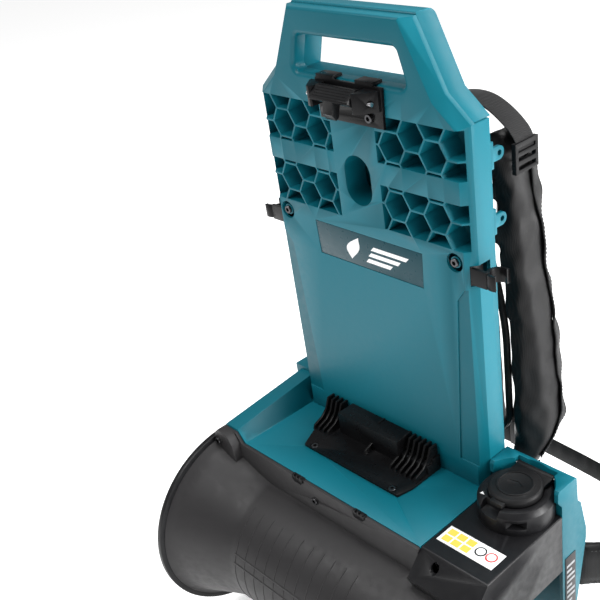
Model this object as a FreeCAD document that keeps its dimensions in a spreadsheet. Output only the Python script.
"""Backpack leaf blower: battery pack frame, base, ducted fan, power socket and harness.

Millimetres. +X is the wearer's right, +Y points at the wearer's back, +Z is up. The origin
lies on the floor, under the middle of the frame's front face.
"""
import FreeCAD, Part
import math
import os
import re
import Sketcher
from FreeCAD import Placement, Rotation, Vector

doc = FreeCAD.newDocument("backpack_blower")

# ---------------------------------------------------------------- driving dimensions
DIMENSIONS = [
    ("hexagon_side", 16, "side of one honeycomb cell"),
    ("hexagon_rib", 1.8, "thickness of the honeycomb ribs"),
    ("honeycomb_z", 576, "height of the upper row of whole cells"),
    ("cell_depth", 23, "depth of the honeycomb cells"),
    ("window_inner", 28.8, "inner edge of the honeycomb windows"),
    ("window_outer", 128, "outer edge of the honeycomb windows"),
    ("latch_edge", 41, "where the upper windows step round the latch plate"),
    ("panel_half", 132, "half width of the frame"),
    ("panel_bevel", 9, "bevel along the frame's sides"),
    ("shell_depth", 32, "depth of the frame's front shell"),
    ("skin", 3, "general wall thickness"),
    ("gap", 0.3, "clearance between neighbouring pieces"),
    ("shoulder_z", 605.7, "height of the frame's shoulders"),
    ("handle_z", 687, "top of the carry handle"),
    ("handle_half", 77, "half width of the handle's top"),
    ("handle_split", 14, "where the handle's two halves meet"),
    ("grip_low", 663, "underside of the grip"),
    ("grip_sill", 629, "lower edge of the hand hole"),
    ("shelf_z", 237, "top of the shelf that carries the power pack"),
    ("shelf_front", -99, "front edge of the shelf"),
    ("shelf_left", -126, "left fold of the shelf"),
    ("base_left", -163, "left end of the base"),
    ("base_right", 213, "right end of the base"),
    ("frame_front", 13, "front of the base's rear frame"),
    ("frame_top", 270, "top of the base's rear frame"),
    ("fan_y", -97, "fan axis, front to back"),
    ("fan_z", 125, "fan axis, height"),
    ("mouth_radius", 115, "outside radius of the ring round the intake"),
    ("mouth_left", -163, "left end of the intake mouth"),
    ("neck_right", -84, "where the mouth has narrowed to the barrel"),
    ("barrel_radius", 78, "outside radius of the fan barrel"),
    ("barrel_right", 205, "right end of the barrel"),
    ("duct_radius", 55.5, "inside radius of the fan duct"),
    ("duct_wall", 2.5, "wall of the fan duct"),
    ("blade_radius", 54.8, "tip radius of the fan"),
    ("hub_radius", 24, "radius of the fan's hub"),
    ("blade_count", 11, "number of fan blades"),
    ("vane_count", 9, "number of guide vanes"),
    ("shaft_radius", 4, "radius of the motor shaft"),
    ("running_gap", 0.05, "clearance of a shaft in its bore"),
    ("housing_left", 134.3, "left side of the right housing"),
    ("socket_x", 173, "power socket, left to right"),
    ("socket_y", -4.5, "power socket, front to back"),
    ("collar_radius", 37, "outside radius of the socket collar"),
    ("collar_z", 261, "top of the socket collar"),
    ("socket_bore", 23.5, "inside radius of the socket collar"),
    ("cap_radius", 26, "radius of the socket cap"),
    ("cap_z", 269, "top of the socket cap"),
    ("cap_hinge_y", 27, "hinge of the socket cap, front to back"),
    ("cap_hinge_z", 264, "hinge of the socket cap, height"),
    ("spigot_radius", 46, "outside radius of the hose spigot"),
    ("elbow_bend", 82, "bend radius of the outlet elbow"),
    ("spigot_length", 45, "length of the hose spigot"),
    ("cradle_z", 240, "top of the cradle's floor"),
    ("boss_x", 112, "frame screw bosses, off centre"),
    ("boss_z", 482, "frame screw bosses, height"),
    ("clip_z", 471, "cable clips, height"),
    ("latch_y", -11, "latch pivot, front to back"),
    ("latch_z", 616, "latch pivot, height"),
    ("pad_front", 42, "front of the back pad"),
    ("pad_back", 76, "rear of the back pad"),
    ("pad_half", 114, "half width of the back pad"),
    ("lug_upper", 572, "height of the upper side lugs"),
    ("lug_lower", 512, "height of the lower side lugs"),
    ("lug_hole", 2.6, "radius of the lug holes"),
    ("screw_head", 4.2, "radius of a screw's head"),
    ("screw_shank", 2, "radius of a screw's shank"),
]
ALIASES = {alias for alias, number, meaning in DIMENSIONS}

sheet = doc.addObject("Spreadsheet::Sheet", "dims")
for row, (alias, number, meaning) in enumerate(DIMENSIONS, start=1):
    sheet.set(f"A{row}", meaning)
    sheet.set(f"B{row}", str(number))
    sheet.setAlias(f"B{row}", alias)
doc.recompute()


# ---------------------------------------------------------------- helpers
def linked(expression):
    """The expression with the sheet's name before each of its aliases."""
    def name(match):
        word = match.group()
        return "dims." + word if word in ALIASES else word
    return re.sub(r"[a-z][a-z_]*", name, str(expression))


def value(expression):
    return float(sheet.evalExpression(linked(expression)))


def bind(item, prop, expression):
    item.setExpression(prop, linked(expression))


AXES = "xyz"
TURN = {
    "x": Rotation(Vector(0, 1, 0), 90),
    "y": Rotation(Vector(1, 0, 0), -90),
    "z": Rotation(),
}
PLANES = {"x": "YZ_Plane", "y": "XZ_Plane", "z": "XY_Plane"}


def box(name, x, y, z):
    """A block between a low and a high value on each axis."""
    item = doc.addObject("Part::Box", name)
    for prop, axis, (low, high) in zip(("Length", "Width", "Height"), AXES, (x, y, z)):
        bind(item, prop, f"({high}) - ({low})")
        bind(item, f"Placement.Base.{axis}", low)
    return item


def set_along(item, axis, start, centre):
    """Turn an upright item onto an axis and bind where it starts."""
    item.Placement = Placement(Vector(), TURN[axis])
    others = [letter for letter in AXES if letter != axis]
    for letter, place in zip(others, centre):
        bind(item, f"Placement.Base.{letter}", place)
    bind(item, f"Placement.Base.{axis}", start)


def rod(name, axis, radius, span, centre):
    """A round bar along an axis; centre holds the other two coordinates."""
    item = doc.addObject("Part::Cylinder", name)
    bind(item, "Radius", radius)
    bind(item, "Height", f"({span[1]}) - ({span[0]})")
    set_along(item, axis, span[0], centre)
    return item


def cone(name, axis, radii, span, centre):
    item = doc.addObject("Part::Cone", name)
    bind(item, "Radius1", radii[0])
    bind(item, "Radius2", radii[1])
    bind(item, "Height", f"({span[1]}) - ({span[0]})")
    set_along(item, axis, span[0], centre)
    return item


def fused(name, items):
    item = doc.addObject("Part::MultiFuse", name)
    item.Shapes = items
    return item


def less(name, base, tools):
    item = doc.addObject("Part::Cut", name)
    item.Base = base
    item.Tool = tools[0] if len(tools) == 1 else fused(name + "_tools", tools)
    return item


def shared(name, base, tool):
    item = doc.addObject("Part::Common", name)
    item.Base = base
    item.Tool = tool
    return item


def group(name, items):
    item = doc.addObject("Part::Compound", name)
    item.Links = items
    return item


def tube(name, axis, outer, inner, span, centre):
    wall = rod(name + "_wall", axis, outer, span, centre)
    bore = rod(name + "_bore", axis, inner, (f"{span[0]} - 1", f"{span[1]} + 1"), centre)
    return less(name, wall, [bore])


def given(name, shape):
    """A shape made directly, for what neither sketches nor primitives describe."""
    item = doc.addObject("Part::Feature", name)
    item.Shape = shape
    return item


def outline(body, axis, level, points):
    """A closed polygon across an axis, every corner bound to the sheet."""
    role = PLANES[axis]
    sketch = body.newObject("Sketcher::SketchObject", body.Name + "_outline")
    support = next(item for item in body.Origin.OriginFeatures if item.Role == role)
    sketch.AttachmentSupport = [(support, "")]
    sketch.MapMode = "FlatFace"
    sign = "-1" if axis == "y" else "1"
    bind(sketch, "AttachmentOffset.Base.z", f"{sign} * ({level})")
    corners = [Vector(value(across), value(up), 0) for across, up in points]
    count = len(corners)
    for index, corner in enumerate(corners):
        sketch.addGeometry(Part.LineSegment(corner, corners[(index + 1) % count]), False)
    for index in range(count):
        sketch.addConstraint(Sketcher.Constraint("Coincident", index, 2, (index + 1) % count, 1))
    for index, (corner, point) in enumerate(zip(corners, points)):
        for kind, number, expression in (("DistanceX", corner.x, point[0]),
                ("DistanceY", corner.y, point[1])):
            place = sketch.addConstraint(Sketcher.Constraint(kind, -1, 1, index, 1, number))
            sketch.setExpression(f"Constraints[{place}]", linked(expression))
    return sketch


def new_body(name):
    return doc.addObject("PartDesign::Body", name)


def pad(body, axis, span, points):
    feature = body.newObject("PartDesign::Pad", body.Name + "_pad")
    feature.Profile = outline(body, axis, span[0], points)
    bind(feature, "Length", f"({span[1]}) - ({span[0]})")
    feature.Reversed = axis == "y"
    body.Tip = feature
    doc.recompute()
    return feature


def pocket(body, axis, span, points):
    """Cut a polygon out of the body between two levels, and make sure that it cuts."""
    before = body.Shape.Volume
    feature = body.newObject("PartDesign::Pocket", body.Name + "_pocket")
    feature.Profile = outline(body, axis, span[0], points)
    bind(feature, "Length", f"({span[1]}) - ({span[0]})")
    feature.Reversed = axis != "y"
    body.Tip = feature
    doc.recompute()
    if body.Shape.Volume > before - 1:
        raise RuntimeError(f"a pocket in {body.Name} cuts nothing")
    return feature


def dressed(body, kind, size, wanted):
    """Fillet or chamfer the edges of the body that the test picks."""
    edges = body.Tip.Shape.Edges
    names = [f"Edge{index}" for index, edge in enumerate(edges, start=1) if wanted(edge)]
    if not names:
        raise RuntimeError(f"no edge to dress on {body.Name}")
    base = body.Tip
    feature = body.newObject("PartDesign::" + kind, body.Name + "_" + kind.lower())
    feature.Base = (base, names)
    bind(feature, "Radius" if kind == "Fillet" else "Size", size)
    body.Tip = feature
    doc.recompute()
    return feature


def prism(name, axis, span, points):
    body = new_body(name)
    pad(body, axis, span, points)
    return body


def turned(name, axis, position, profile):
    """A body turned from (radius, height) corners about an axis through a position."""
    body = new_body(name)
    feature = body.newObject("PartDesign::Revolution", name + "_turn")
    sketch = outline(body, "y", 0, profile)
    feature.Profile = sketch
    feature.ReferenceAxis = (sketch, ["V_Axis"])
    feature.Angle = 360
    body.Tip = feature
    body.Placement = Placement(Vector(), TURN[axis])
    for letter, place in zip(AXES, position):
        bind(body, f"Placement.Base.{letter}", place)
    return body


def both_sides(points):
    """Right-hand outline points and their mirror images, as one closed outline."""
    left = [(f"-1 * ({across})", up) for across, up in reversed(points)]
    return points + left


def along(edge, direction):
    line = edge.Vertexes[-1].Point - edge.Vertexes[0].Point
    return line.Length > 1e-6 and abs(line.normalize().dot(direction)) > 0.999


def at(edge, axis, level):
    return all(abs(getattr(vertex.Point, axis) - value(level)) < 0.01 for vertex in edge.Vertexes)


def turned_copies(name, item, count, axis_point):
    """Copies of an item about the fan's axis, as one compound."""
    doc.recompute()
    step = 360 / count
    copies = []
    for index in range(count):
        copy = item.Shape.copy()
        copy.rotate(axis_point, Vector(1, 0, 0), index * step)
        copies.append(copy)
    return given(name, Part.makeCompound(copies))


nodes = {}


def node(name, item):
    """Register a finished sub-part under the name that its file gets."""
    item.Label = name
    nodes[name] = item
    return item


def screws(name, axis, spots, length=9, sign=1):
    """Socket-headed screws: the head stands on a face and the shank goes in along the axis.

    A spot is the head's seat. With sign 1 the shank points along +axis.
    """
    made = []
    place = AXES.index(axis)
    for number, spot in enumerate(spots, start=1):
        seat = spot[place]
        centre = [spot[index] for index in range(3) if index != place]
        tip = f"{seat} + {length}" if sign > 0 else f"{seat} - {length}"
        top = f"{seat} - 2.6" if sign > 0 else f"{seat} + 2.6"
        shank_span = (seat, tip) if sign > 0 else (tip, seat)
        head_span = (top, seat) if sign > 0 else (seat, top)
        shank = rod(f"{name}_shank{number}", axis, "screw_shank", shank_span, centre)
        head = rod(f"{name}_head{number}", axis, "screw_head", head_span, centre)
        drive = doc.addObject("Part::Prism", f"{name}_drive{number}")
        drive.Polygon = 6
        bind(drive, "Circumradius", "screw_head * 0.5")
        bind(drive, "Height", 1.8)
        set_along(drive, axis, top if sign > 0 else f"{top} - 1.8", centre)
        whole = fused(f"{name}_blank{number}", [shank, head])
        made.append(less(f"{name}_screw{number}", whole, [drive]))
    return group(name, made)


def holes(name, axis, spots, length=10, sign=1):
    """Clearance holes for the shanks of a set of screws."""
    made = []
    place = AXES.index(axis)
    for number, spot in enumerate(spots, start=1):
        seat = spot[place]
        centre = [spot[index] for index in range(3) if index != place]
        span = (f"{seat} - 0.2", f"{seat} + {length}") if sign > 0 else (f"{seat} - {length}",
                f"{seat} + 0.2")
        made.append(rod(f"{name}_hole{number}", axis, "screw_shank + 0.05", span, centre))
    return made


FAN_CENTRE = ("fan_y", "fan_z")
FAN_AXIS_POINT = Vector(0, value("fan_y"), value("fan_z"))
SIDES = (("right", 1), ("left", -1))


# ---------------------------------------------------------------- honeycomb frame
def honeycomb_cells():
    """Hexagonal cells, cut off at the edges of four windows."""
    side = value("hexagon_side")
    reach = side - value("hexagon_rib") / math.sqrt(3)
    pitch = side * math.sqrt(3)
    start = value("honeycomb_z")
    depth = Vector(0, value("cell_depth") + 1, 0)
    cells = []
    for column in range(-6, 7):
        for row in range(-4, 3):
            centre_x = 1.5 * side * column
            centre_z = start + pitch * (row + (column % 2) / 2)
            ring = [
                Vector(centre_x + reach * math.cos(math.radians(60 * turn)), -1,
                       centre_z + reach * math.sin(math.radians(60 * turn)))
                for turn in range(7)
            ]
            cells.append(Part.Face(Part.makePolygon(ring)).extrude(depth))
    inner = value("window_inner")
    outer = value("window_outer")
    step = value("latch_edge")
    upper = [(inner, -17.3), (outer, -17.3), (outer, 26.4), (step, 26.4), (step, 12), (inner, 12)]
    lower = [(inner, -81.6), (outer, -81.6), (outer, -38.4), (inner, -38.4)]
    windows = []
    for sign in (1, -1):
        for shape in (upper, lower):
            ring = [Vector(sign * across, -1, start + up) for across, up in shape]
            windows.append(Part.Face(Part.makePolygon(ring + ring[:1])).extrude(depth))
    return Part.makeCompound(windows).common(Part.makeCompound(cells))


FRAME_OUTLINE = [
    ("panel_half", "shelf_z + gap"),
    ("panel_half", "shoulder_z"),
    ("panel_half - 25.7", "shoulder_z + 22.4"),
    ("handle_half", "handle_z"),
]
HAND_HOLE = [("72", "grip_sill"), ("62", "grip_low")]
LATCH_SPOTS = [("28", "-3", "600"), ("-28", "-3", "600")]
BOSS_SPOTS = [("boss_x", "1.4", "boss_z"), ("-1 * boss_x", "1.4", "boss_z")]
HANDLE_SPOTS = [("76", "36", "650"), ("-76", "36", "650"), ("100", "36", "596"), ("-100", "36", "596")]


def frame_front_shell():
    body = new_body("frame_front_body")
    pad(body, "y", (0, "shell_depth"), both_sides(FRAME_OUTLINE))
    upright = Vector(1, 0, 0)
    dressed(body, "Chamfer", "panel_bevel", lambda edge: at(edge, "y", "0") and not along(edge, upright))
    dressed(body, "Fillet", 2.5, lambda edge: at(edge, "y", "0") and at(edge, "z", "handle_z"))
    pocket(body, "y", (-1, "shell_depth + 1"), both_sides(HAND_HOLE))
    dressed(body, "Fillet", 6, lambda edge: along(edge, Vector(0, 1, 0)) and abs(edge.Vertexes[0].X) < 73
            and value("grip_sill") - 1 < edge.Vertexes[0].Z < value("grip_low") + 1)
    dressed(body, "Fillet", 5, lambda edge: at(edge, "y", "0") and abs(edge.Vertexes[0].X) < 73
            and abs(edge.Vertexes[-1].X) < 73
            and value("grip_sill") - 1 < edge.Vertexes[0].Z < value("grip_low") + 1)
    handle_box = [("-140", "shoulder_z"), ("140", "shoulder_z"), ("140", "handle_z + 9"),
            ("-140", "handle_z + 9")]
    pocket(body, "y", ("handle_split", "shell_depth + 1"), handle_box)
    inside = "panel_half - skin"
    for reach, first in ((inside + " - panel_bevel", "skin"), (inside, "skin + panel_bevel")):
        hollow = [(reach, "shelf_z + 4"), (reach, "491")]
        pocket(body, "y", (first, "shell_depth + 1"), both_sides(hollow))
    behind = [(f"-1 * ({inside})", "488"), (inside, "488"), (inside, "602"), (f"-1 * ({inside})", "602")]
    pocket(body, "y", ("cell_depth + 3", "shell_depth + 1"), behind)
    pocket(body, "y", (-1, 1.2), [("-70.5", "480.5"), ("73.5", "480.5"), ("71.5", "444.5"),
            ("-68.5", "444.5")])
    for side, sign in SIDES:
        edge_strip = [("140", "461"), ("121", "457"), ("112", "444"), ("101", "262"), ("140", "262")]
        pocket(body, "y", (-1, 1.6), [(f"{sign} * {across}", up) for across, up in edge_strip])
    slot_tools = [
        box("finger_slot_middle", ("-17", "17"), ("-1", "shell_depth + 1"), ("528", "543")),
        rod("finger_slot_low", "y", "17", ("-1", "shell_depth + 1"), ("0", "528")),
        rod("finger_slot_high", "y", "17", ("-1", "shell_depth + 1"), ("0", "543")),
    ]
    boss_tools = []
    for side, sign in SIDES:
        ring = tube(f"boss_recess_{side}", "y", "9", "5.5", ("-1", "8"), (f"{sign} * boss_x", "boss_z"))
        top = rod(f"boss_top_{side}", "y", "9.2", ("-1", "1.4"), (f"{sign} * boss_x", "boss_z"))
        low, high = sorted((sign * 118, sign * 140))
        notch = box(f"clip_notch_{side}", (low, high), (3.2, 24), ("clip_z - 10", "clip_z + 10"))
        boss_tools += [ring, top, notch]
    cells = given("honeycomb_cells", honeycomb_cells())
    bores = holes("boss", "y", BOSS_SPOTS, 12) + holes("latch", "y", LATCH_SPOTS, 12)
    return less("frame_front_shell", body, [cells] + slot_tools + boss_tools + bores)


node("frame_front_shell", frame_front_shell())


def frame_rear_shell():
    body = new_body("frame_rear_body")
    plate = [("-122", "shelf_z + 3"), ("122", "shelf_z + 3"), ("122", "612"), ("-122", "612")]
    pad(body, "y", ("shell_depth + 0.2", "shell_depth + 4"), plate)
    handle = [("panel_half - 2", "shoulder_z + 0.5"), ("panel_half - 27", "shoulder_z + 22.2"),
            ("handle_half - 1", "handle_z + 2")]
    pad(body, "y", ("handle_split + 0.2", "shell_depth + 4"), both_sides(handle))
    hole = [("72.4", "grip_sill - 0.4"), ("62.2", "grip_low + 0.6")]
    pocket(body, "y", (0, "shell_depth + 9"), both_sides(hole))
    rear = "shell_depth + 4"
    dressed(body, "Fillet", 6, lambda edge: at(edge, "y", rear)
            and min(v.Z for v in edge.Vertexes) > value("grip_low") - 2)
    dressed(body, "Fillet", 2, lambda edge: at(edge, "y", "handle_split + 0.2")
            and at(edge, "z", "handle_z + 2"))
    extras = []
    for side, sign in SIDES:
        for place in (55, 92):
            low, high = sorted((sign * place, sign * (place + 2.4)))
            extras.append(box(f"rear_rib_{side}_{place}", (low, high), (rear, "shell_depth + 8"),
                    ("262", "600")))
        for level in ("lug_upper", "lug_lower"):
            low, high = sorted((sign * 128, sign * 131.4))
            lug = box(f"{level}_{side}_ear", (low, high), ("shell_depth + 0.2", "shell_depth + 12"),
                    (f"{level} - 6", f"{level} + 6"))
            nose = rod(f"{level}_{side}_nose", "x", "6", (low, high), ("shell_depth + 12", level))
            root_low, root_high = sorted((sign * 118, sign * 131.4))
            foot = box(f"{level}_{side}_foot", (root_low, root_high), ("shell_depth + 0.2", rear),
                    (f"{level} - 12", f"{level} + 12"))
            eye = rod(f"{level}_{side}_eye", "x", "lug_hole", (f"{low} - 1", f"{high} + 1"),
                    ("shell_depth + 12", level))
            extras.append(less(f"{level}_{side}_lug", fused(f"{level}_{side}_blank", [lug, nose, foot]),
                    [eye]))
    whole = fused("frame_rear_blank", [body] + extras)
    return less("frame_rear_shell", whole, holes("handle", "y", HANDLE_SPOTS, 14, -1))


node("frame_rear_shell", frame_rear_shell())

# ---------------------------------------------------------------- fan housing
STRIP_SPOTS = [("-10", "-103", "219"), ("-157", "-113", "236")]
FLARE = [(-163, 32), (-158, 26.5), (-148, 21.5), (-130, 14.5), (-108, 6), (-90, 0.5)]


def necked(name, inset):
    """The barrel and its trumpet-shaped mouth as one solid, smaller all round by an inset."""
    profile = [(0, "mouth_left - 20"), (f"barrel_radius + 32 - {inset}", "mouth_left - 20")]
    profile += [(f"barrel_radius + {rise} - {inset}", place) for place, rise in FLARE]
    profile += [
        (f"barrel_radius - {inset}", "neck_right"),
        (f"barrel_radius - {inset}", "barrel_right + 1"),
        (0, "barrel_right + 1"),
    ]
    return turned(name, "x", ("0", "fan_y", "fan_z"), profile)


HOUSING_ROOM = necked("housing_room", "-0.4")


def housing_half(name, depth_span):
    """Half of the solid round the fan, split along the barrel at the fan's axis."""
    half = box(name + "_half", ("mouth_left", "barrel_right"), depth_span, ("-50", "300"))
    return shared(name + "_piece", necked(name + "_outside", "0"), half)


def fan_housing_front():
    shell = housing_half("fan_front", ("-300", "fan_y - 0.2"))
    strip = box("strip_wall", ("base_left", "housing_left - 0.4"), ("-103", "-99.4"),
            ("fan_z + 74", "shelf_z - 0.4"))
    web = box("strip_web", ("neck_right", "housing_left - 0.4"), ("-103", "fan_y - 0.2"),
            ("fan_z + 75.5", "fan_z + 79"))
    shoulder = prism("strip_shoulder", "y", ("-103", "-99.4"), [
        ("shelf_left - 2", "shelf_z - 1"), ("shelf_left - 11", "shelf_z + 11.6"), ("base_left + 4",
                "shelf_z + 11.6"), ("base_left", "shelf_z + 6"), ("base_left", "shelf_z - 1")])
    boss = prism("strip_boss", "y", ("-113", "-101"), [
        ("base_left", 222), (-131, 212), (-133, "shelf_z"), (-139, "shelf_z + 11"),
        ("base_left + 7", "shelf_z + 14"), ("base_left", "shelf_z + 7")])
    lip = box("lower_lip", ("neck_right", "barrel_right"), ("-105", "fan_y - 0.2"),
            ("fan_z - 88", "fan_z - 75"))
    inside = necked("front_clear", "skin")
    whole = fused("fan_front_blank", [shell, strip, web, shoulder, boss, lip])
    return less("fan_housing_front", whole, [inside] + holes("strip", "y", STRIP_SPOTS, 11))


def fan_housing_rear():
    shell = housing_half("fan_rear", ("fan_y + 0.2", "300"))
    wall = box("rear_wall", ("neck_right", "housing_left - 0.4"), ("fan_y + 0.2", "fan_y + 3.6"),
            ("fan_z + 74", "shelf_z - 3.9"))
    lip = box("rear_lip", ("neck_right", "barrel_right"), ("fan_y + 0.2", "fan_y + 8"),
            ("fan_z - 88", "fan_z - 75"))
    arms = []
    for place in (-78, 20, 118):
        arms.append(box(f"rear_arm_{place + 100}", (place, place + 4),
                ("fan_y + 40", "frame_front - 0.5"), ("fan_z - 70", "fan_z + 90")))
    inside = necked("rear_clear", "skin")
    whole = fused("fan_rear_blank", [shell, wall, lip] + arms)
    return less("fan_housing_rear", whole, [inside] + holes("rear_strip", "y", STRIP_SPOTS[:1], 14))


node("fan_housing_front", fan_housing_front())
node("fan_housing_rear", fan_housing_rear())

# ---------------------------------------------------------------- base
SHELF_SPOTS = [("-58", "-57", "cradle_z - 2.65"), ("58", "-57", "cradle_z - 2.65")]


def base_cover():
    body = new_body("base_cover_body")
    under = "shelf_z - 3.5"
    plate = [("shelf_left - 4", under), ("housing_left - 0.3", under),
            ("housing_left - 0.3", "shelf_z"), ("shelf_left - 4", "shelf_z")]
    pad(body, "y", ("shelf_front", "frame_front - 0.3"), plate)
    front = [("shelf_left", under), ("shelf_left", "shelf_z"), ("shelf_left - 11", "shelf_z + 14"),
             ("base_left + 6", "shelf_z + 14"), ("base_left", "shelf_z + 8"), ("base_left", under)]
    back = [("shelf_left", under), ("shelf_left", "shelf_z"), ("shelf_left - 8", "shelf_z + 29"),
            ("base_left + 10", "shelf_z + 29"), ("base_left", "shelf_z + 20"), ("base_left", under)]
    first = outline(body, "y", "shelf_front", front)
    second = outline(body, "y", "frame_front - 0.3", back)
    shoulder = body.newObject("PartDesign::AdditiveLoft", "left_shoulder")
    shoulder.Profile = first
    shoulder.Sections = [second]
    shoulder.Ruled = True
    body.Tip = shoulder
    doc.recompute()
    panel = box("panel_room", ("-1 * panel_half - gap", "panel_half + gap"),
            ("-1 * gap", "frame_front"), ("shelf_z + 0.01", "400"))
    return less("base_cover", body, [panel, HOUSING_ROOM] + holes("shelf", "z", SHELF_SPOTS, 14, -1))


node("base_cover", base_cover())


def base_rear_frame():
    section = [
        ("frame_front", 26), (34, 26), (37, 105), (53, 183), (53, 196), (44, 234), (39, 240),
        (37, "frame_top - 2"), (35, "frame_top"), (9, "frame_top"), (7, "frame_top - 3"), (7,
                "shelf_z + 20"), ("frame_front", "shelf_z + 12"),
    ]
    body = new_body("rear_frame_body")
    pad(body, "x", ("base_left", "base_right"), section)
    inner = [("frame_front + 3", 30), (31, 30), (34, 105), (50, 184), (50, 195), (41, 232),
            ("frame_front + 3", 232)]
    pocket(body, "x", ("base_left + 3", "base_right - 3"), inner)
    panel = box("frame_panel_room", ("-1 * panel_half - 0.5", "panel_half + 0.5"), ("-9", "60"),
            ("shelf_z - 0.2", "400"))
    collar = rod("frame_collar_room", "z", "collar_radius + 0.4", ("shelf_z - 0.2", "400"),
            ("socket_x", "socket_y"))
    tongue = box("frame_tongue_room", ("socket_x - 23", "socket_x + 23"), ("-9", "cap_hinge_y + 4"),
            ("shelf_z - 0.2", "400"))
    shoulder = box("frame_shoulder_room", ("base_left - 1", "-1 * panel_half - 0.4"),
            ("0", "frame_front"), ("200", "400"))
    return less("base_rear_frame", body, [panel, HOUSING_ROOM, collar, tongue, shoulder])


node("base_rear_frame", base_rear_frame())


def pack_cradle():
    floor = [(-69, -62), (70, -62), (74, -44), (74, -1.5), (-84, -1.5), (-84, -30)]
    body = new_body("cradle_floor")
    pad(body, "z", ("shelf_z + 0.05", "cradle_z"), floor)
    curve = [(-1.5, "cradle_z - 1"), (-37, "cradle_z - 1"), (-35, "cradle_z + 4"), (-24, "cradle_z + 8"),
             (-16, "cradle_z + 15"), (-11, "cradle_z + 27"), (-1.5, "cradle_z + 27")]
    ribs = []
    rib_places = [-83, -76, -69, -62, -4, 34, 41, 48, 55, 62, 69]
    for place in rib_places:
        name = f"cradle_rib_{place + 100}"
        ribs.append(prism(name, "x", (place, place + 2.4), curve))
    low_back = box("cradle_back_low", ("-84", "74"), ("-12", "-1.5"), ("cradle_z - 1", "cradle_z + 14"))
    bar = box("cradle_bar", ("-52", "36"), ("-24", "-1.5"), ("cradle_z - 1", "cradle_z + 26"))
    left_block = box("cradle_left_block", ("-84", "-58"), ("-18", "-1.5"),
            ("cradle_z - 1", "cradle_z + 8"))
    right_block = box("cradle_right_block", ("32", "74"), ("-20", "-1.5"),
            ("cradle_z - 1", "cradle_z + 10"))
    whole = fused("cradle_blank", [body, low_back, bar, left_block, right_block] + ribs)
    sinks = [rod(f"cradle_sink_{spot[0]}".replace("-", "left_"), "z", "screw_head + 0.3",
            (spot[2], "cradle_z + 1"), spot[:2])
             for spot in SHELF_SPOTS]
    return less("pack_cradle", whole, sinks + holes("cradle", "z", SHELF_SPOTS, 14, -1))


node("pack_cradle", pack_cradle())


# ---------------------------------------------------------------- pack latch
def latch_plate():
    plate = [("38", "592"), ("44", "592"), ("46", "628.5"), ("-38", "628.5"), ("-36", "592")]
    body = new_body("latch_plate_body")
    pad(body, "y", (-3, -0.1), plate)
    cheeks = []
    for side, sign in SIDES:
        wedge = [(25.2, -2.5), (25.2, -20), (27, -21), (31, -20), (43, -5), (43, -2.5)]
        points = [(sign * across, depth) for across, depth in wedge]
        cheek = prism(f"latch_cheek_{side}", "z", ("608", "626"), points)
        cheeks.append(cheek)
        low, high = sorted((sign * 14, sign * 36))
        cheeks.append(box(f"latch_tab_{side}", (low, high), (-3, 9),
                ("grip_sill + 0.3", "grip_sill + 3")))
        cheeks.append(box(f"latch_tab_root_{side}", (low, high), (-3, -0.1), ("624", "grip_sill + 3")))
    pin_hole = rod("latch_pin_room", "x", "2 + running_gap", (-60, 60), ("latch_y", "latch_z"))
    whole = fused("latch_plate_blank", [body] + cheeks)
    return less("latch_plate", whole, [pin_hole] + holes("latch_plate", "y", LATCH_SPOTS, 12))


node("latch_plate", latch_plate())


def latch_lever():
    section = [(-5, 611), (-12, 611), (-20, 614), (-24.5, 617), (-24, 619), (-13, 627), (-8, 626),
            (-5, 622)]
    body = prism("latch_lever_body", "x", (-24.6, 24.6), section)
    nose = prism("latch_nose", "x", (-6, 6), [(-15, 615), (-24, 618), (-26.5, 606), (-22, 600),
            (-18.5, 602), (-17, 608)])
    bore = rod("latch_lever_bore", "x", "2 + running_gap", (-30, 30), ("latch_y", "latch_z"))
    grooves = []
    for index in range(5):
        shift = index * 2.3
        points = [(-23.4 + shift, 621.2 + shift * 0.73), (-22.2 + shift, 622 + shift * 0.73),
                (-22.4 + shift, 618.9 + shift * 0.73)]
        grooves.append(prism(f"latch_groove_{index}", "x", (-21, 21), points))
    spring_room = rod("latch_spring_room", "x", "4.6", (-9.2, 9.2), ("latch_y", "latch_z"))
    whole = fused("latch_lever_blank", [body, nose])
    return less("latch_lever", whole, [bore, spring_room] + grooves)


node("latch_lever", latch_lever())
node("latch_pin", rod("latch_pin", "x", "2", (-41, 41), ("latch_y", "latch_z")))
node("latch_spring", tube("latch_spring", "x", 3.6, 2.3, (-8.6, 8.6), ("latch_y", "latch_z")))
node("pack_screws", group("pack_screws", [
    screws("cradle_screws", "z", SHELF_SPOTS, 9, -1),
    screws("latch_screws", "y", LATCH_SPOTS, 9),
]))


# ---------------------------------------------------------------- frame furniture
def cable_clip(side, sign):
    low, high = sorted((sign * 125, sign * 144))
    arm = box(f"cable_arm_{side}", (low, high), (3.5, 7), ("clip_z - 8", "clip_z + 8"))
    low, high = sorted((sign * 121, sign * 127))
    foot = box(f"cable_foot_{side}", (low, high), (3.5, 20), ("clip_z - 9", "clip_z + 9"))
    centre = (f"{sign} * 150", "13")
    ring = tube(f"cable_ring_{side}", "z", 11, 8, ("clip_z - 7", "clip_z + 7"), centre)
    low, high = sorted((sign * 153, sign * 170))
    mouth = box(f"cable_mouth_{side}", (low, high), (3, 23), ("clip_z - 9", "clip_z + 9"))
    hook = less(f"cable_hook_{side}", ring, [mouth])
    return fused(f"cable_clip_{side}", [arm, foot, hook])


for side, sign in SIDES:
    node(f"cable_clip_{side}", cable_clip(side, sign))
node("frame_screws", group("frame_screws", [
    screws("boss_screws", "y", BOSS_SPOTS, 9),
    screws("handle_screws", "y", HANDLE_SPOTS, 9, -1),
]))
node("badge_plate", prism("badge_plate", "y", (0.2, 1.1), [(-70, 480), (73, 480), (71, 445), (-68, 445)]))


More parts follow.
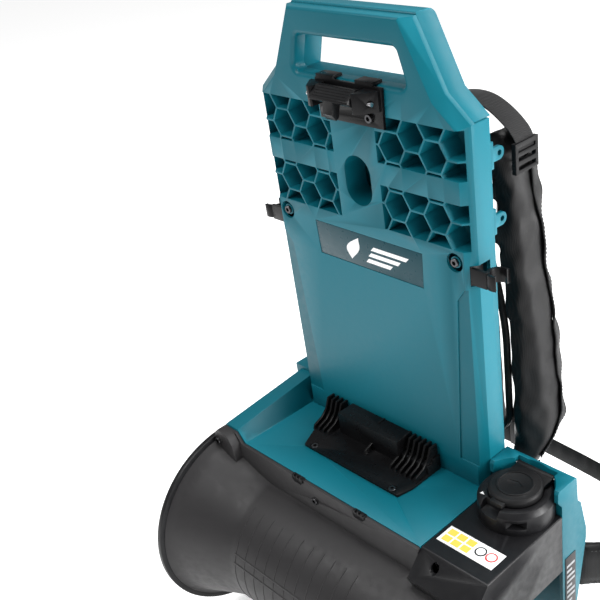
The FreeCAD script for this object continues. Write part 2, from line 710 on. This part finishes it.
# ---------------------------------------------------------------- seam clips and intake
SEAM_CLIP = [(-8, 0), (-8, -4), (-5, -7), (5, -7), (8, -4), (8, 0)]


def seam_clips():
    """Two toothed clips that hook over the housing's top edge, in front of the shelf."""
    clips = []
    for number, place in enumerate((-34, 57), start=1):
        points = [(place + across, f"shelf_z + 1.5 + {up}") for across, up in SEAM_CLIP]
        pieces = [
            prism(f"clip_front_{number}", "y", (-104.8, -103.05), points),
            box(f"clip_top_{number}", (place - 8, place + 8), (-104.8, -99.2),
                    ("shelf_z - 0.2", "shelf_z + 1.5")),
        ]
        for shift in (-5, 0, 5):
            tooth = (place + shift - 1, place + shift + 1)
            pieces.append(box(f"clip_tooth_{number}_{shift + 9}", tooth, (-104.8, -101),
                    ("shelf_z + 1", "shelf_z + 4")))
        clips.append(fused(f"seam_clip_{number}", pieces))
    return group("seam_clips", clips)


node("seam_clips", seam_clips())
node("intake_ring", turned("intake_ring", "x", ("mouth_left - 10", "fan_y", "fan_z"), [
    ("mouth_radius - 9", 0), ("mouth_radius - 3", 0), ("mouth_radius + 0.6", 4), ("mouth_radius + 0.6",
            9.8), ("mouth_radius - 9", 9.8)]))


def intake_grille():
    rings = []
    for number, radius in enumerate((18, 35, 52, 69, 86, 103)):
        rings.append(tube(f"grille_ring_{number}", "x", radius + 1.5, radius - 1.5,
                ("mouth_left - 8", "mouth_left - 5"), FAN_CENTRE))
    disc = rod("grille_disc", "x", 9, ("mouth_left - 8", "mouth_left - 5"), FAN_CENTRE)
    bar = box("grille_bar", ("mouth_left - 7.5", "mouth_left - 4.5"), ("fan_y - 1.2", "fan_y + 1.2"),
            ("fan_z + 5", "fan_z + mouth_radius - 9.3"))
    bars = turned_copies("grille_bars", bar, 12, FAN_AXIS_POINT)
    return fused("intake_grille", rings + [disc, bars])


node("intake_grille", intake_grille())
BELL_LEFT = "neck_right - 24"
node("inlet_bell", turned("inlet_bell", "x", (BELL_LEFT, "fan_y", "fan_z"), [
    ("duct_radius", 26), ("duct_radius", 14), ("duct_radius + 6", 4), ("duct_radius + 14",
            0), ("duct_radius + 24", 0),
    ("duct_radius + 24", 2.5), ("duct_radius + 15", 2.5), ("duct_radius + 8.5",
            6), ("duct_radius + 2.5", 15),
    ("duct_radius + 2.5", 26)]))
DUCT_LEFT = "neck_right + 2.2"
node("fan_duct", tube("fan_duct", "x", "duct_radius + duct_wall", "duct_radius",
        (DUCT_LEFT, "barrel_right - 4"), FAN_CENTRE))

# ---------------------------------------------------------------- fan and motor
FAN_LEFT = -66
FAN_RIGHT = -30


def blade(name, span, root, tip, thickness, lean):
    """A thin blade from the hub to the tip, turned about its own radius."""
    middle = (span[0] + span[1]) / 2
    half = (span[1] - span[0]) / 2
    item = box(name, (-1 * half, half), (-1 * thickness / 2, thickness / 2), (root, tip))
    doc.recompute()
    shape = item.Shape.copy()
    shape.rotate(Vector(), Vector(0, 0, 1), lean)
    shape.translate(Vector(middle, value("fan_y"), value("fan_z")))
    return given(name + "_set", shape)


def fan_impeller():
    hub = turned("fan_hub", "x", (FAN_LEFT - 22, "fan_y", "fan_z"), [
        (0, 0), (7, 1.5), (15, 7), (21, 15), ("hub_radius", 24), ("hub_radius", 58), ("hub_radius - 3",
                58),
        ("hub_radius - 3", 30), ("shaft_radius", 30), ("shaft_radius", 10), (0, 10)])
    one = blade("fan_blade", (FAN_LEFT + 2, FAN_RIGHT - 2), value("hub_radius") - 1.5,
            value("blade_radius") + 1, 2.2, 38)
    blades = turned_copies("fan_blades", one, int(value("blade_count")), FAN_AXIS_POINT)
    whole = fused("impeller_blank", [hub, blades])
    limit = rod("impeller_limit", "x", "blade_radius", (FAN_LEFT - 30, FAN_RIGHT + 10), FAN_CENTRE)
    return shared("fan_impeller", whole, limit)


node("fan_impeller", fan_impeller())
node("motor_shaft", rod("motor_shaft", "x", "shaft_radius", (FAN_LEFT - 11.5, 66), FAN_CENTRE))
POD_LEFT = -26
POD_RIGHT = 60


def motor_pod():
    """Guide vanes round the pod that holds the motor and its bearings."""
    shell = turned("pod_shell", "x", (POD_LEFT, "fan_y", "fan_z"), [
        ("hub_radius + 3", 0), ("hub_radius + 5.5", 3), ("hub_radius + 5.5",
                POD_RIGHT - POD_LEFT), (9.05, POD_RIGHT - POD_LEFT),
        (9.05, POD_RIGHT - POD_LEFT - 7), ("hub_radius + 3",
                POD_RIGHT - POD_LEFT - 7), ("hub_radius + 3", 12), (9.05, 12),
        (9.05, 5), ("hub_radius + 0.5", 5), ("hub_radius + 0.5", 0)])
    one = blade("guide_vane", (POD_LEFT + 16, POD_RIGHT - 16), value("hub_radius") + 4.5,
            value("duct_radius") + 2, 2.4, -16)
    vanes = turned_copies("guide_vanes", one, int(value("vane_count")), FAN_AXIS_POINT)
    whole = fused("pod_blank", [shell, vanes])
    limit = rod("pod_limit", "x", "duct_radius - 0.05", (POD_LEFT - 9, POD_RIGHT + 9), FAN_CENTRE)
    return shared("motor_pod", whole, limit)


node("motor_pod", motor_pod())
node("bearing_front", tube("bearing_front", "x", 9, "shaft_radius + running_gap",
        (POD_LEFT + 5.2, POD_LEFT + 11.8), FAN_CENTRE))
node("bearing_rear", tube("bearing_rear", "x", 9, "shaft_radius + running_gap",
        (POD_RIGHT - 6.8, POD_RIGHT - 0.2), FAN_CENTRE))


def motor_stator():
    ring = tube("stator_ring", "x", "hub_radius + 2.9", "hub_radius - 1", (-6, 40), FAN_CENTRE)
    tooth = box("stator_tooth", (-6, 40), ("fan_y - 2.4", "fan_y + 2.4"),
            ("fan_z + 14.5", "fan_z + hub_radius - 0.5"))
    teeth = turned_copies("stator_teeth", tooth, 12, FAN_AXIS_POINT)
    return fused("motor_stator", [ring, teeth])


def motor_coils():
    coil = box("coil_block", (-10, 44), ("fan_y + 2.6", "fan_y + 4.4"),
            ("fan_z + 16", "fan_z + hub_radius - 1.8"))
    return turned_copies("motor_coils", coil, 12, FAN_AXIS_POINT)


node("motor_stator", motor_stator())
node("motor_coils", motor_coils())
node("motor_rotor", tube("motor_rotor", "x", 13.6, "shaft_radius + 0.02", (-6, 40), FAN_CENTRE))
TAIL_PROFILE = [
    (8, 8), ("hub_radius + 2.5", 2), ("hub_radius + 2.5", 0), ("hub_radius + 5.5", 0), ("hub_radius + 3", 22),
    (16, 52), (4, 70), (0, 72), (0, 68), (13, 48), ("hub_radius", 21),
]
node("tail_cone", turned("tail_cone", "x", (POD_RIGHT + 0.2, "fan_y", "fan_z"), TAIL_PROFILE))



# ---------------------------------------------------------------- outlet elbow
def outlet_elbow():
    start = value("barrel_right") + 0.3
    bend = value("elbow_bend")
    outer = value("spigot_radius")
    low_y = value("fan_y")
    height = value("fan_z")

    def swept(radius, lead, tail):
        path_start = Vector(start - lead, low_y, height)
        corner = Vector(start + 8, low_y, height)
        middle = Vector(start + 8 + bend * math.sin(math.pi / 4),
                low_y + bend * (1 - math.cos(math.pi / 4)), height)
        bend_end = Vector(start + 8 + bend, low_y + bend, height)
        end = Vector(start + 8 + bend, low_y + bend + value("spigot_length") + tail, height)
        path = Part.Wire([
            Part.LineSegment(path_start, corner).toShape(),
            Part.Arc(corner, middle, bend_end).toShape(),
            Part.LineSegment(bend_end, end).toShape(),
        ])
        ring = Part.Wire(Part.makeCircle(radius, path_start, Vector(1, 0, 0)))
        return path.makePipeShell([ring], True, False)

    solid = swept(outer, 0, 0).cut(swept(outer - 2.6, 1, 1))
    flange = Part.makeCylinder(value("duct_radius") + 12, 5, Vector(start, low_y, height),
            Vector(1, 0, 0))
    flange = flange.cut(Part.makeCylinder(outer - 2.6, 9, Vector(start - 2, low_y, height),
            Vector(1, 0, 0)))
    return given("outlet_elbow", solid.fuse([flange]))


ELBOW_TURNS = (45, 135, 225, 315)


def ring_spot(turn):
    """Where a screw of the elbow's flange lies, as expressions for Y and Z."""
    return f"fan_y + 62 * cos({turn} deg)", f"fan_z + 62 * sin({turn} deg)"


node("outlet_elbow", less("outlet_elbow_bored", outlet_elbow(), [
    rod(f"elbow_hole_{turn}", "x", "screw_shank + 0.05", ("barrel_right - 1", "barrel_right + 9"),
            ring_spot(turn))
    for turn in ELBOW_TURNS]))
ELBOW_SPOTS = [("barrel_right + 5.3", *ring_spot(turn)) for turn in ELBOW_TURNS]


def end_cap():
    """The plate that closes the barrel's right end round the duct."""
    plate = rod("end_plate", "x", "barrel_radius - skin - 0.2", ("barrel_right - 3", "barrel_right"),
            FAN_CENTRE)
    bore = rod("end_bore", "x", "duct_radius - 9.5", ("barrel_right - 9", "barrel_right + 9"), FAN_CENTRE)
    bores = [rod(f"cap_hole_{turn}", "x", "screw_shank + 0.05",
            ("barrel_right - 9", "barrel_right + 9"), ring_spot(turn))
             for turn in ELBOW_TURNS]
    return less("barrel_end_cap", plate, [bore] + bores)


node("barrel_end_cap", end_cap())


# ---------------------------------------------------------------- right housing, electronics, socket
def right_housing():
    rear = "frame_front - gap"
    section = [(-97, "shelf_z"), (-120, 214), (-109, 188), (-40, 168), (rear, 168), (rear, "shelf_z")]
    inside = [(-95.6, "shelf_z - 3"), (-116.4, 213.4), (-106.8, 191), (-40, 171), (rear + " - 3", 171),
            (rear + " - 3", "shelf_z - 3")]
    body = new_body("right_housing_body")
    pad(body, "x", ("housing_left", "base_right"), section)
    dressed(body, "Fillet", 1.5, lambda edge: at(edge, "z", "shelf_z")
            and not at(edge, "y", "frame_front - gap"))
    pocket(body, "x", ("housing_left + 3", "base_right - 3"), inside)
    bore = rod("housing_socket_bore", "z", 14.4, ("shelf_z - 9", "shelf_z + 9"), ("socket_x", "socket_y"))
    flange = rod("housing_flange_room", "x", "duct_radius + 12.7",
            ("barrel_right - 1", "base_right + 1"), FAN_CENTRE)
    spot = RIGHT_SPOTS[0]
    boss = rod("housing_screw_boss", "y", 7, (spot[1], "-88.4"), (spot[0], spot[2]))
    sink = rod("housing_screw_sink", "y", "screw_head + 0.4", ("-130", spot[1]), (spot[0], spot[2]))
    whole = fused("right_housing_blank", [body, boss])
    return less("right_housing", whole, [bore, flange, sink, HOUSING_ROOM] + holes("right", "y",
            RIGHT_SPOTS, 12))


RIGHT_SPOTS = [("157", "-98", "228.4")]
node("right_housing", right_housing())
node("housing_screws", group("housing_screws", [
    screws("strip_screws", "y", STRIP_SPOTS, 9),
    screws("right_screw", "y", RIGHT_SPOTS, 9),
    screws("elbow_screws", "x", ELBOW_SPOTS, 8.5, -1),
]))
node("controller_case", less("controller_case",
        box("controller_block", (142, 204), (-88, -34), (205.5, 231)),
                             [box("controller_hollow", (144, 202), (-86, -36), (207.5, 240))]))
node("controller_board", box("controller_board", (144.5, 201.5), (-85.5, -36.5), (213, 215)))


def socket_collar():
    spot = ("socket_x", "socket_y")
    base = fused("collar_base", [
        rod("collar_ring", "z", "collar_radius", ("shelf_z + 0.1", "collar_z - 5"), spot),
        cone("collar_rim", "z", ("collar_radius", "collar_radius - 4"), ("collar_z - 5", "collar_z"),
                spot),
    ])
    bore = rod("collar_bore", "z", "socket_bore", ("shelf_z - 9", "collar_z + 9"), spot)
    seat = rod("collar_cap_seat", "z", "cap_radius + 0.5", ("collar_z - 2", "collar_z + 9"), spot)
    notch = box("collar_notch", ("socket_x - 16", "socket_x + 6"), ("socket_y - 40", "socket_y - 24"),
            ("shelf_z + 15", "collar_z + 1"))
    slot = box("collar_slot", ("socket_x + 14", "socket_x + 34"), ("socket_y - 40", "socket_y - 22.5"),
            ("shelf_z + 7.5", "shelf_z + 15.5"))
    rear = box("collar_rear", ("socket_x - 23", "socket_x + 23"), ("socket_y + 18", "socket_y + 60"),
            ("cap_hinge_z - 4.5", "collar_z + 9"))
    mark = prism("collar_mark", "z", ("collar_z - 0.6", "collar_z + 2"), [
        ("socket_x - 25", "socket_y - 19"), ("socket_x - 19", "socket_y - 23"), ("socket_x - 24",
                "socket_y - 24")])
    return less("socket_collar", base, [bore, seat, notch, slot, rear, mark])


node("socket_collar", socket_collar())


def socket_insert():
    spot = ("socket_x", "socket_y")
    flange = rod("insert_flange", "z", "socket_bore - 0.3", ("shelf_z + 0.05", "shelf_z + 5"), spot)
    core = rod("insert_core", "z", 14, ("shelf_z - 14", "shelf_z + 4"), spot)
    block = fused("insert_block", [flange, core])
    slots = [
        box(f"insert_slot_{index}", (f"socket_x + {shift} - 1.6", f"socket_x + {shift} + 1.6"),
                ("socket_y - 5", "socket_y + 5"),
            ("shelf_z - 6", "shelf_z + 9"))
        for index, shift in enumerate((-9, 0, 9))]
    return less("socket_insert", block, slots)


node("socket_insert", socket_insert())
node("socket_terminals", group("socket_terminals", [
    box(f"terminal_{index}", (f"socket_x + {shift} - 0.6", f"socket_x + {shift} + 0.6"),
            ("socket_y - 4.5", "socket_y + 4.5"),
        ("shelf_z - 6", "shelf_z + 4"))
    for index, shift in enumerate((-9, 0, 9))]))


def socket_cap():
    spot = ("socket_x", "socket_y")
    disc = rod("cap_disc", "z", "cap_radius", ("collar_z + 0.4", "cap_z - 2"), spot)
    crown = cone("cap_crown", "z", ("cap_radius", "cap_radius - 2"), ("cap_z - 2", "cap_z"), spot)
    ring = tube("cap_ring", "z", 18, 16, ("cap_z - 1", "cap_z + 1"), spot)
    plug = rod("cap_plug", "z", "socket_bore - 0.6", ("collar_z - 5", "collar_z + 1"), spot)
    tongue = box("cap_tongue", ("socket_x - 21", "socket_x + 21"), ("socket_y + 10", "cap_hinge_y"),
            ("collar_z + 0.6", "collar_z + 4.4"))
    knuckle = rod("cap_knuckle", "x", 3, ("socket_x - 21", "socket_x + 21"),
            ("cap_hinge_y", "cap_hinge_z"))
    bore = rod("cap_pin_bore", "x", 1.3, ("socket_x - 30", "socket_x + 30"),
            ("cap_hinge_y", "cap_hinge_z"))
    symbol = prism("cap_symbol", "z", ("cap_z - 0.8", "cap_z + 2"), [
        ("socket_x - 9", "socket_y - 2"), ("socket_x + 1", "socket_y - 4"), ("socket_x + 9", "socket_y"),
        ("socket_x + 1", "socket_y + 4"), ("socket_x - 9", "socket_y + 2")])
    pull = box("cap_pull", ("socket_x - 7", "socket_x + 7"),
            ("socket_y - cap_radius - 4", "socket_y - cap_radius + 4"), ("collar_z + 1", "cap_z - 3"))
    return less("socket_cap", fused("cap_blank", [disc, crown, ring, plug, tongue, knuckle, pull]),
            [bore, symbol])


node("socket_cap", socket_cap())
node("socket_cap_pin", rod("socket_cap_pin", "x", 1.25, ("socket_x - 22.8", "socket_x + 22.8"),
        ("cap_hinge_y", "cap_hinge_z")))
node("care_label", box("care_label", (139, 204), (-82, -60), ("shelf_z + 0.05", "shelf_z + 0.6")))
node("rating_plate", box("rating_plate", ("base_right + 0.05", "base_right + 0.6"), (17, 34), (112, 180)))

# ---------------------------------------------------------------- stand
STAND_POINTS = [(-84, -150), (-58, -150), (-58, -18), (90, -18), (90, -150), (116, -150), (116, 28),
        (-84, 28)]


def stand():
    body = new_body("stand_body")
    pad(body, "z", (0, 25.5), STAND_POINTS)
    saddles = [box(f"stand_saddle_{name}", span, ("fan_y - 38", "fan_y + 38"), (20, 64))
               for name, span in (("left", (-84, -58)), ("right", (90, 116)))]
    lips = box("stand_lip_room", ("neck_right - 1", "barrel_right"), ("fan_y - 8.5", "fan_y + 8.5"),
            ("fan_z - 88.4", "fan_z"))
    return less("stand", fused("stand_blank", [body] + saddles), [HOUSING_ROOM, lips])


node("stand", stand())


# ---------------------------------------------------------------- harness
def soft_loft(sections):
    """A soft strap through upright sections: a height and four corners seen from above."""
    wires = []
    for height, corners in sections:
        ring = [Vector(across, depth, height) for across, depth in corners]
        wires.append(Part.makePolygon(ring + ring[:1]))
    return Part.makeLoft(wires, True, True)


def flipped(shape):
    return shape.mirror(Vector(), Vector(1, 0, 0))


# Each section: height, then the inner near, outer near, outer far and inner far corners.
STRAP_SECTIONS = [
    (584, [(98, 62), (108, 62), (118, 92), (104, 92)]),
    (560, [(98, 56), (114, 66), (126, 110), (112, 110)]),
    (497, [(100, 52), (124, 70), (135, 108), (120, 108)]),
    (448, [(108, 50), (131, 68), (139, 109), (124, 109)]),
    (380, [(115.5, 50), (140, 71), (147, 110), (130, 110)]),
    (326, [(116, 50), (143, 78), (149, 113), (131, 113)]),
    (275, [(116, 50), (146, 83), (151, 115), (133, 115)]),
    (246, [(116, 52), (146, 78), (150, 99), (134, 99)]),
    (230, [(120, 54), (142, 70), (148, 80), (132, 80)]),
]


def strip(route, width, thickness):
    """Flat webbing along straight runs: a band of constant width, standing across its route."""
    pieces = []
    for first, second in zip(route, route[1:]):
        start = Vector(*first)
        end = Vector(*second)
        run = end - start
        across = run.cross(Vector(0.0, 1.0, 0.0)).normalize()
        wide = Vector(0, 1, 0)
        rings = []
        for spot in (start, end):
            ring = [
                spot + across * (side_a * thickness / 2) + wide * (side_b * width / 2)
                for side_a, side_b in ((-1, -1), (1, -1), (1, 1), (-1, 1))]
            rings.append(Part.makePolygon(ring + ring[:1]))
        pieces.append(Part.makeLoft(rings, True, True))
    whole = pieces[0]
    for piece in pieces[1:]:
        whole = whole.fuse(piece)
    return whole.removeSplitter()


LIFTER_ROUTE = [(60, 59, 606), (91, 62, 609), (133.5, 78, 575.5)]


def belt_wing_shape():
    """A padded wing seen from above, curving from the pad round the wearer's hip."""
    outer = [Vector(96, 57, 0), Vector(150, 57, 0), Vector(200, 62, 0), Vector(229, 90, 0),
            Vector(236, 140, 0), Vector(222, 182, 0)]
    inner = [Vector(208, 178, 0), Vector(221, 139, 0), Vector(214, 96, 0), Vector(193, 76, 0),
            Vector(150, 71, 0), Vector(96, 71, 0)]
    ring = outer + inner
    face = Part.Face(Part.makePolygon(ring + ring[:1]))
    face.translate(Vector(0, 0, 92))
    return face.extrude(Vector(0, 0, 62))


def back_pad():
    outline_points = [(80, 244), ("pad_half", 262), ("pad_half", 384), (106, 432), (96, 470), (96, 560),
            (78, 582)]
    body = new_body("back_pad")
    pad(body, "y", ("pad_front", "pad_back"), both_sides(outline_points))
    dressed(body, "Fillet", 9, lambda edge: at(edge, "y", "pad_back"))
    return body


node("back_pad", back_pad())
node("lumbar_pad", prism("lumbar_pad", "y", (56, 78),
        both_sides([(80, 92), (94, 110), (94, 196), (80, 216)])))
node("harness_top_bar", box("harness_top_bar", (-86, 86), ("shell_depth + 8.2", "shell_depth + 13"),
        (588, 624)))

STRAP_SHAPE = soft_loft(STRAP_SECTIONS)
WING_SHAPE = belt_wing_shape()
LOWER_ROUTE = [(139, 67, 228.8), (135, 66, 218), (118, 66, 211)]
WEBBING_SHAPE = Part.makeCompound([strip(LIFTER_ROUTE, 25, 2.4), strip(LOWER_ROUTE, 25, 2.4)])
for side, sign in SIDES:
    for name, shape in (("shoulder_pad", STRAP_SHAPE), ("hip_pad", WING_SHAPE),
            ("strap_webbing", WEBBING_SHAPE)):
        node(f"{name}_{side}", given(f"{name}_{side}", shape if sign > 0 else flipped(shape)))


def ladder_lock(side, sign):
    low, high = sorted((sign * 131, sign * 136))
    plate = box(f"lock_plate_{side}", (low, high), (60, 92), (546, 574))
    slot_low, slot_high = sorted((sign * 129, sign * 140))
    slots = [box(f"lock_slot_{side}_{index}", (slot_low, slot_high), (64, 88), (start, start + 3.5))
             for index, start in enumerate((550, 558, 566))]
    return less(f"ladder_lock_{side}", plate, slots)


for side, sign in SIDES:
    node(f"ladder_lock_{side}", ladder_lock(side, sign))


def belt_band(sign):
    """Webbing from a hip pad's end to the buckle in front of the wearer."""
    spots = [(214, 183), (206, 186), (150, 205), (34, 213), (34, 215.4), (150, 207.4), (207, 188.4),
            (216, 185)]
    ring = [Vector(sign * across, depth, 110) for across, depth in spots]
    return Part.Face(Part.makePolygon(ring + ring[:1])).extrude(Vector(0, 0, 26))


for side, sign in SIDES:
    node(f"belt_webbing_{side}", given(f"belt_webbing_{side}", belt_band(sign)))
node("belt_buckle_socket", less("belt_buckle_socket",
        box("buckle_shell", (-4, 33.7), (207, 221), (105, 141)),
                                [box("buckle_room", (-5, 24), (209.5, 218.5), (108, 138))]))
node("belt_buckle_plug", fused("belt_buckle_plug", [
    box("plug_body", (-33.7, -4.4), (207.5, 220.5), (106, 140)),
    box("plug_tongue", (-5, 22), (210.5, 217.5), (119, 127)),
    box("plug_prong_low", (-5, 18), (210.5, 217.5), (109, 113)),
    box("plug_prong_high", (-5, 18), (210.5, 217.5), (133, 137)),
]))


# ---------------------------------------------------------------- checks and export
doc.recompute()
problems = [item.Label for item in doc.Objects if "Invalid" in item.State or "Error" in item.State]
for name, item in nodes.items():
    shape = item.Shape
    if shape.isNull() or not shape.isValid() or not shape.Solids:
        problems.append(name)
if problems:
    raise RuntimeError("these objects failed: " + ", ".join(problems))

os.makedirs("parts", exist_ok=True)
for name, item in nodes.items():
    item.Shape.exportStep(f"parts/{name}.step")
print(f"{len(nodes)} sub-parts written")
